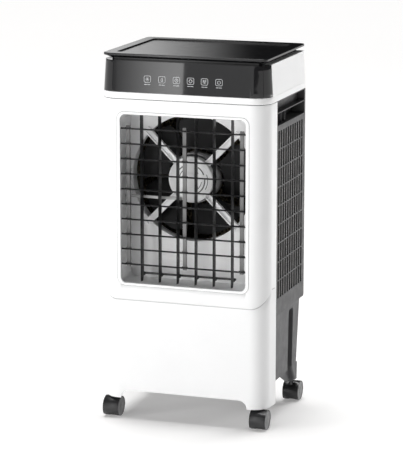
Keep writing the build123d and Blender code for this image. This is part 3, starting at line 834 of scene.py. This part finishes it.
# ---- casters ----
@dataclass
class CasterWheels:
    """Twin wheels on one axle: ribbed treads, recessed grey faces and a small hub cap."""

    name: str
    wide: float = 11.0
    inner: float = 6.5
    spokes: int = 6
    axle_radius: float = 3.0
    axle_half: float = 8.0

    def wheel(self, r: float) -> Shape:
        """Turned about X: a crowned tread with two grooves, a rolled edge, a dished face, a cap.

        Args:
            r: the wheel's radius.

        Returns:
            The wheel, from x = 0 outwards.
        """
        w = self.wide
        return lathe([(ON_AXIS, 0), (r - 2.2, 0), (r - 0.9, 0.35), (r - 0.1, 1.3), (r, 3.0),
                      (r, 3.5), (r - 0.45, 3.8), (r - 0.45, 4.4), (r, 4.7), (r, w - 4.7),
                      (r - 0.45, w - 4.4), (r - 0.45, w - 3.8), (r, w - 3.5), (r, w - 2.4),
                      (r - 0.3, w - 1.0), (r - 1.3, w - 0.15), (r - 2.6, w), (r - 3.4, w - 0.2),
                      (r - 4.2, w - 0.9), (r - 5.2, w - 1.0), (6.2, w - 1.0), (5.6, w - 0.7),
                      (5.0, w - 0.2), (4.0, w - 0.05), (ON_AXIS, w)], "x", 72)

    def build(self) -> None:
        """Makes the pair and its axle where the wheels roll."""
        x, y, z = joint_place(f"caster_{self.name}_roll")
        outer = self.wheel(z).moved(self.inner)
        face = self.inner + self.wide
        spoke = slab((face - 1.4, face - 0.65), (6.5, 14.4), (-0.7, 0.7), 0.25, "x")
        ribs = join(spoke.turned("x", 360 / self.spokes * k) for k in range(self.spokes))
        radius, half = self.axle_radius, self.axle_half
        axle = lathe([(ON_AXIS, -half), (radius, -half), (radius, half), (ON_AXIS, half)], "x", 24)
        pair = join([outer, outer.mirrored(), ribs, ribs.mirrored(), axle]).moved(x, y, z)
        body = f"caster_wheels_{self.name}"
        piece = new_piece(f"wheel_pair_{self.name}", pair, WHEEL, body, 28)
        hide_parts(body)


# ---- front shell ----
@dataclass
class FrontShell:
    """White front skin: a raised upper field that ends in a rolled step, feet and an arch below."""

    half: float
    face: float
    back: float
    foot: float
    top: float
    body: str = "cabinet"
    corner: float = 38.0
    step_level: float = 257.0
    step: float = 3.2
    step_corner: float = 36.0
    step_fade: float = 0.7
    flank_start: float = -100.0
    groove: float = 1.3
    groove_low: float = 2.1
    roll_low: float = 0.9
    roll: float = 2.4
    arch: float = 61.5
    arch_edge: float = 137.0
    arch_round: float = 18.0
    foot_round: float = 0.7
    top_round: float = 0.8
    hole: tuple[float, float] = (135.5, 176.0)
    hole_level: float = 467.0
    mouth_columns: tuple[float, ...] = (119, 122.5, 126, 129, 132, 134, 135.5, 136.0, 136.6,
                                        137.2, 138, 139.6, 142)
    low_rows: tuple[float, ...] = (262.0, 275.0)
    high_rows: tuple[float, ...] = (655.0, 665.0)
    wall: float = 2.4
    # section of the painted shadow ribbon under the step, as (inset, drop) pairs
    fold_shadow_section: tuple[tuple[float, float], ...] = (
        (-0.12, 2.9), (-0.12, 1.6), (0.6, 1.6), (0.6, 2.9))
    fold_shadow_least_step: float = 0.6

    @classmethod
    def fitted(cls) -> "FrontShell":
        """The skin with the CAD shell's outer limits, and a hair under its top."""
        low, high = limits("front_shell")
        return cls(high[0], low[1], high[1], low[2], high[2] - 0.5)

    def path(self) -> tuple[np.ndarray, np.ndarray]:
        """Plan line from the left flank's rear edge round the front to the right one's.

        Returns:
            Points (x, y) and outward normals, as arrays.
        """
        bend = np.radians(np.linspace(0, 90, 15))[1:-1]
        side = np.array(self.mouth_columns)
        near = np.concatenate([-side[::-1], np.linspace(-110, 110, 23), side])
        flank = np.linspace(self.back, self.face + self.corner, 8)
        arc_x = self.half - self.corner + self.corner * np.sin(bend)
        arc_y = self.face + self.corner - self.corner * np.cos(bend)
        edge, ones = np.full(8, self.half), np.ones(8)
        x = np.concatenate([-edge, -arc_x[::-1], near, arc_x, edge])
        y = np.concatenate([flank, arc_y[::-1], np.full(len(near), self.face), arc_y, flank[::-1]])
        nx = np.concatenate([-ones, -np.sin(bend[::-1]), 0 * near, np.sin(bend), ones])
        ny = np.concatenate([0 * ones, -np.cos(bend[::-1]), 0 * near - 1, -np.cos(bend), 0 * ones])
        return np.stack([x, y], -1), np.stack([nx, ny], -1)

    def rows(self, low: np.ndarray, rise: np.ndarray, deep: np.ndarray,
             front: np.ndarray) -> tuple[np.ndarray, np.ndarray]:
        """Levels and insets of the skin's rows, from the foot edge to the top.

        The foot edge and the top edge are quarter rounds. Under the step a quarter wave cuts the
        groove, and the roll comes out of it by the groove's depth and the step's together.

        Args:
            low: level of the lower edge in each column.
            rise: level of the step in each column.
            deep: how far the lower front is set back in each column.
            front: 1 where the skin faces the front, falling to 0 along the flanks.

        Returns:
            Levels and insets, as arrays of row, column.
        """
        bend = np.radians(np.linspace(0, 90, 6))[:, None]
        small, flat = self.foot_round, np.zeros(len(low))
        groove = self.groove * front
        plain = np.linspace(0, 1, 13)[:-1, None]
        start = rise - self.roll_low + self.roll
        edge, flat_start = self.top - self.top_round, self.step_level - self.roll_low + self.roll
        hole = np.linspace(-self.hole[1], self.hole[1], 19) + self.hole_level
        marks = np.array([*self.low_rows, *hole, *self.high_rows, edge])[:, None]
        share = (marks - flat_start) / (edge - flat_start)
        bands = [
            (low + small * (1 - np.cos(bend[:-1])), deep + small * (1 - np.sin(bend[:-1]))),
            (low + small + (rise - self.groove_low - 0.5 - low) * plain, deep + flat * plain),
            (rise - self.groove_low + 0.3 * np.sin(bend), deep + groove * (1 - np.cos(bend))),
            (rise - self.roll_low + self.roll * (1 - np.cos(bend)),
             (deep + groove) * (1 - np.sin(bend))),
            (start + (edge - start) * share, flat * share),
            (edge + self.top_round * np.sin(bend[1:]) + flat,
             self.top_round * (1 - np.cos(bend[1:])) + flat)]
        return tuple(np.vstack(column) for column in zip(*bands))

    def build(self) -> None:
        """Makes the skin.

        A column stands at each point of the plan line. Its lower edge follows the feet and the
        arch's rounded ends, z = arch - r + sqrt(r^2 - u^2), and its step level rises by a quarter
        circle towards the flanks. Each row is the plan line moved in along its normals.
        """
        flat, normal = self.path()
        x = np.abs(flat[:, 0])
        along = np.maximum(x - self.arch_edge + self.arch_round, 0)
        curve = np.sqrt(np.maximum(self.arch_round**2 - along**2, 0))
        low = np.where(x > self.arch_edge, self.foot, self.arch - self.arch_round + curve)
        low = np.maximum(low, self.foot)
        turn = np.clip(x - (self.half - self.step_corner), 0, self.step_corner)
        rise = self.step_level + self.step_corner - np.sqrt(self.step_corner**2 - turn**2)
        front = 1 - np.clip((flat[:, 1] - self.flank_start) / (self.back - self.flank_start), 0, 1)
        fade = np.clip((x - self.half + self.corner) / self.corner, 0, 1)
        deep = (self.step - self.step_fade * fade) * front
        z, inset = self.rows(low, rise, deep, front)
        plan = flat[None] - normal[None] * inset[:, :, None]
        points = np.dstack([plan, z]).reshape(-1, 3)
        faces = grid_faces(len(z), len(x), False)
        middle = points[np.array(faces)].mean(1)
        inside = np.abs(middle[:, 0]) < self.hole[0]
        inside &= np.abs(middle[:, 2] - self.hole_level) < self.hole[1]
        inside &= middle[:, 1] < self.face + 2
        kept = [face for face, cut in zip(faces, inside) if not cut]
        shell = new_piece("front_skin", Shape(points, kept), WHITE, self.body, 60)
        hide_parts("front_shell")
        solid = shell.modifiers.new("wall", "SOLIDIFY")
        solid.thickness = self.wall * MM
        solid.offset = -1.0
        solid.use_even_offset = True
        self.step_line(flat, normal, rise, deep)

    def step_line(self, flat: np.ndarray, normal: np.ndarray, rise: np.ndarray,
                  deep: np.ndarray) -> None:
        """Painted shadow line in the fold under the rolled step: a grey ribbon along the plan line.

        Args:
            flat: plan points.
            normal: their outward normals.
            rise: the step's level at each point.
            deep: how far the lower front is set back at each point.
        """
        corners = []
        # painted shadow: a grey ribbon stands in for the shade in the fold under the step
        for inset, drop in self.fold_shadow_section:
            plan = flat - normal * (deep + inset)[:, None]
            corners.append(np.column_stack([plan, rise - drop]))
        ribbon = np.stack(corners, 1)[deep > self.fold_shadow_least_step]
        new_piece("step_shadow", loft(ribbon), FOLD_SHADOW_GREY, self.body, 30)


# ---- studio ----
def flat_mesh(name: str, corners: Sequence[Sequence[float]],
              material: bpy.types.Material) -> bpy.types.Object:
    """A single four-cornered face of the stage, in metres.

    Args:
        name: the object's name.
        corners: its corners.
        material: what it is made of.

    Returns:
        The new object.
    """
    mesh = bpy.data.meshes.new(name)
    mesh.from_pydata(corners, [], [(0, 1, 2, 3)])
    mesh.materials.append(material)
    sheet = bpy.data.objects.new(name, mesh)
    bpy.context.scene.collection.objects.link(sheet)
    return sheet


@dataclass(frozen=True)
class SoftBox:
    """A square soft light that points at the cooler, and shows in reflections only if mirrored."""

    name: str
    place: tuple[float, float, float]
    size: float
    power: float
    mirrored: bool = False
    target: tuple[float, float, float] = (0.0, 0.0, 0.4)

    def build(self) -> None:
        """Makes the light."""
        data = bpy.data.lights.new(self.name, "AREA")
        data.size = self.size
        data.energy = self.power
        light = bpy.data.objects.new(self.name, data)
        light.location = self.place
        ahead = Vector(self.target) - Vector(self.place)
        light.rotation_euler = ahead.to_track_quat("-Z", "Y").to_euler()
        light.visible_camera = False
        light.visible_glossy = self.mirrored
        bpy.context.scene.collection.objects.link(light)


@dataclass(frozen=True)
class Card:
    """An upright glowing card that only reflections see.

    Its glow eases from one strength at its left edge to another at its right one.
    """

    name: str
    place: tuple[float, float, float]
    size: tuple[float, float]
    left: float
    right: float
    turn: float = 0.0

    def material(self) -> bpy.types.Material:
        """The card's glow."""
        half = self.size[0] / 2
        material = bpy.data.materials.new(self.name)
        material.use_nodes = True
        nodes, links = material.node_tree.nodes, material.node_tree.links
        nodes.clear()
        coordinates = nodes.new("ShaderNodeTexCoord")
        split = nodes.new("ShaderNodeSeparateXYZ")
        fade = nodes.new("ShaderNodeMapRange")
        fade.interpolation_type = "SMOOTHSTEP"
        set_range(fade, -half, half, self.left, self.right)
        glow, out = nodes.new("ShaderNodeEmission"), nodes.new("ShaderNodeOutputMaterial")
        links.new(coordinates.outputs["Object"], split.inputs["Vector"])
        links.new(split.outputs["X"], fade.inputs["Value"])
        links.new(fade.outputs["Result"], glow.inputs["Strength"])
        links.new(glow.outputs["Emission"], out.inputs["Surface"])
        return material

    def build(self) -> None:
        """Makes the card."""
        x, z = self.size[0] / 2, self.size[1] / 2
        corners = [(-x, 0, -z), (x, 0, -z), (x, 0, z), (-x, 0, z)]
        card = flat_mesh(self.name, corners, self.material())
        card.location = self.place
        card.rotation_euler = (0, 0, math.radians(self.turn))
        card.visible_camera = False
        card.visible_diffuse = False
        card.visible_shadow = False


@dataclass
class Studio:
    """Pale floor, soft lights, reflecting cards and the camera. Places are in metres."""

    yaw: float = 18.876
    pitch: float = 11.808
    lens: float = 184.8
    sensor: float = 36.0
    eye: tuple[float, float, float] = (1.5271, -4.486, 1.3821)
    boxes: tuple[SoftBox, ...] = (
        SoftBox("front_left_box", (-3.2, -2.9, 0.75), 1.3, 78),
        SoftBox("front_box", (-1.6, -4.3, 1.0), 1.6, 44, True),
        SoftBox("right_rear_box", (2.4, 2.9, 0.75), 1.3, 66))
    cards: tuple[Card, ...] = (
        Card("panel_card", (-0.638, -1.60, 0.62), (0.264, 1.3), 0.0, 5.0),
        Card("dim_card", (-1.3, -2.6, 0.9), (3.4, 3.0), 0.45, 1.0),
        Card("lid_card", (-0.98, 2.6, 1.15), (0.56, 1.1), 1.05, 0.0),
        Card("lid_flag", (-0.35, 2.6, 1.15), (0.70, 1.1), 0.0, 0.0),
        Card("corner_card", (1.55, -0.66, 0.75), (0.10, 1.3), 0.25, 0.7, 72))
    sun_power: float = 2.4
    sun_spread: float = 38.0
    sun_tilt: tuple[float, float] = (-8.0, -4.0)
    room_light: float = 0.10
    floor_half: float = 30.0
    floor_glow: float = 0.2

    def build(self) -> None:
        """Makes the camera, the floor and the lights."""
        self.camera()
        self.floor()
        for box in self.boxes:
            box.build()
        self.overhead()
        for card in self.cards:
            card.build()
        self.room()
        bpy.context.scene.view_settings.view_transform = "Standard"

    def room(self) -> None:
        """A dim even white world, which the camera itself sees at full strength."""
        world = bpy.data.worlds.new("room")
        bpy.context.scene.world = world
        world.use_nodes = True
        nodes, links = world.node_tree.nodes, world.node_tree.links
        background = nodes["Background"]
        background.inputs["Color"].default_value = (1, 1, 1, 1)
        rays, strength = nodes.new("ShaderNodeLightPath"), nodes.new("ShaderNodeMapRange")
        set_range(strength, 0.0, 1.0, self.room_light, 1.0)
        links.new(rays.outputs["Is Camera Ray"], strength.inputs["Value"])
        links.new(strength.outputs["Result"], background.inputs["Strength"])

    def camera(self) -> None:
        """Sets the camera at the eye, turned by the yaw and tipped down by the pitch."""
        data = bpy.data.cameras.new("camera")
        data.lens = self.lens
        data.sensor_width = self.sensor
        camera = bpy.data.objects.new("camera", data)
        camera.location = self.eye
        camera.rotation_euler = (math.radians(90 - self.pitch), 0, math.radians(self.yaw))
        bpy.context.scene.collection.objects.link(camera)
        bpy.context.scene.camera = camera

    def floor(self) -> None:
        """A wide pale sheet that the casters stand on."""
        tree = Tree("pale_floor")
        tree.set(Roughness=0.75, Emission_Color=(1.0, 0.99, 0.985, 1.0),
                 Emission_Strength=self.floor_glow)
        colour = tree.blend(tree.noise(0.6, 2.0), (0.95, 0.945, 0.94), (0.97, 0.965, 0.96))
        tree.to("Base Color", colour)
        h = self.floor_half
        corners = [(-h, -h, 0), (h, -h, 0), (h, h, 0), (-h, h, 0)]
        flat_mesh("floor", corners, tree.material)

    def overhead(self) -> None:
        """Broad even light from above, as from a ceiling of soft boxes."""
        data = bpy.data.lights.new("overhead", "SUN")
        data.energy = self.sun_power
        data.angle = math.radians(self.sun_spread)
        light = bpy.data.objects.new("overhead", data)
        light.rotation_euler = (*np.radians(self.sun_tilt), 0)
        light.visible_camera = False
        bpy.context.scene.collection.objects.link(light)


# ---- carried CAD nodes ----
EDGE_WIDTHS = {
    "front_shell": 1.2, "outlet_frame": 0.6, "top_shell": 1.0, "control_panel": 0.9, "lid": 0.7,
    "side_panel_left": 0.5, "side_panel_right": 0.5, "rear_cover": 0.5, "water_tank": 0.9,
    "motor_bracket": 0.8, "fan_shroud": 0.8, "filling_tray": 0.7, "pump": 0.6,
    "water_distributor": 0.5, "pad_deck": 0.5}
OWN_FINISHES = {
    # the inner white is painted lighter to lift the shade in the outlet tunnel
    "outlet_frame": LIFTED_INNER_WHITE, "fan_shroud": LIFTED_INNER_WHITE, "motor_bracket": LIFTED_INNER_WHITE,
    "caster_stems": STEM, "swing_link": LINK_GREY}


@dataclass
class CarriedNode:
    """A CAD node that keeps its own shape, with a finish and with its crisp edges rounded."""

    name: str
    node: bpy.types.Object
    slot: str
    plain_width: float = 0.35
    edge_angle: float = 42.0

    def dress(self) -> None:
        """Gives the node its finish, and joins its triangles so that its edges can be bevelled."""
        finish = OWN_FINISHES.get(self.name, FINISHES[self.slot])
        self.node.data.materials.clear()
        self.node.data.materials.append(finish.material())
        weld = self.node.modifiers.new("join_triangles", "WELD")
        weld.merge_threshold = MERGE
        bevel = self.node.modifiers.new("round_edges", "BEVEL")
        bevel.width = EDGE_WIDTHS.get(self.name, self.plain_width) * MM
        bevel.segments = 2
        bevel.limit_method = "ANGLE"
        bevel.angle_limit = math.radians(self.edge_angle)
        bevel.harden_normals = True
        bevel.miter_outer = "MITER_ARC"
        LOG.info("%s: carried, finished as %s", self.name, finish.name)


def main() -> None:
    """Builds the cooler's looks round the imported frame."""
    logging.basicConfig(level=logging.INFO, format="%(name)s: %(message)s")
    Studio().build()
    slots = {row["node"]: row["material_slot"] for row in frame["record"]["subparts"]}
    for name, node in frame["nodes"].items():
        CarriedNode(name, node, slots[name]).dress()
    pieces = [FrontShell.fitted(), OutletShadowLines(), TouchKeys(), Fan(), MotorCover(), Screws()]
    pieces += [CasterWheels(f"{where}_{hand}") for hand in ("left", "right")
               for where in ("front", "rear")]
    for piece in pieces:
        piece.build()


if __name__ == "__main__":
    main()
